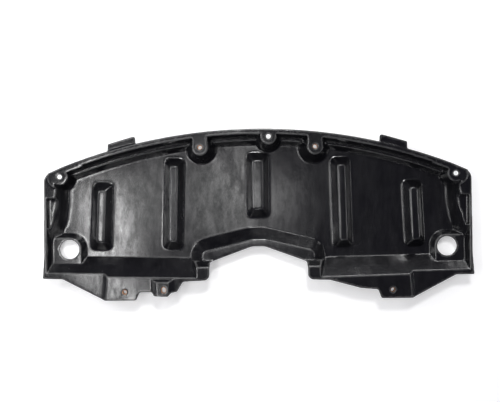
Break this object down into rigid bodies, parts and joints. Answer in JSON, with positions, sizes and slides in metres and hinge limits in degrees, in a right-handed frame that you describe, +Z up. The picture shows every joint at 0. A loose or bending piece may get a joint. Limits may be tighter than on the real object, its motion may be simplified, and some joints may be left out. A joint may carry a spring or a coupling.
{
  "type": "engine splash shield",
  "caption": "Formed black plastic tray with a curved front edge, stiffening ribs, two access holes, an arched rear notch and flanges with sleeved bolt holes.",
  "frame": {"origin": "middle of the shield's width and depth, on the plane that the tray's underside rests on", "axes": "+X along the width, to the right seen from above with the curved edge away from the viewer; +Y towards the curved front edge; +Z up, out of the open side of the tray"},
  "size_m": [1.0056, 0.396, 0.055],
  "materials": {
    "shield": "glossy black moulded polypropylene",
    "sleeve": "yellow-passivated metal"
  },
  "bodies": {
    "root": {"shield": "shield", "sleeves": "sleeve", "slot_sleeve": "sleeve"}
  },
  "joints": []
}
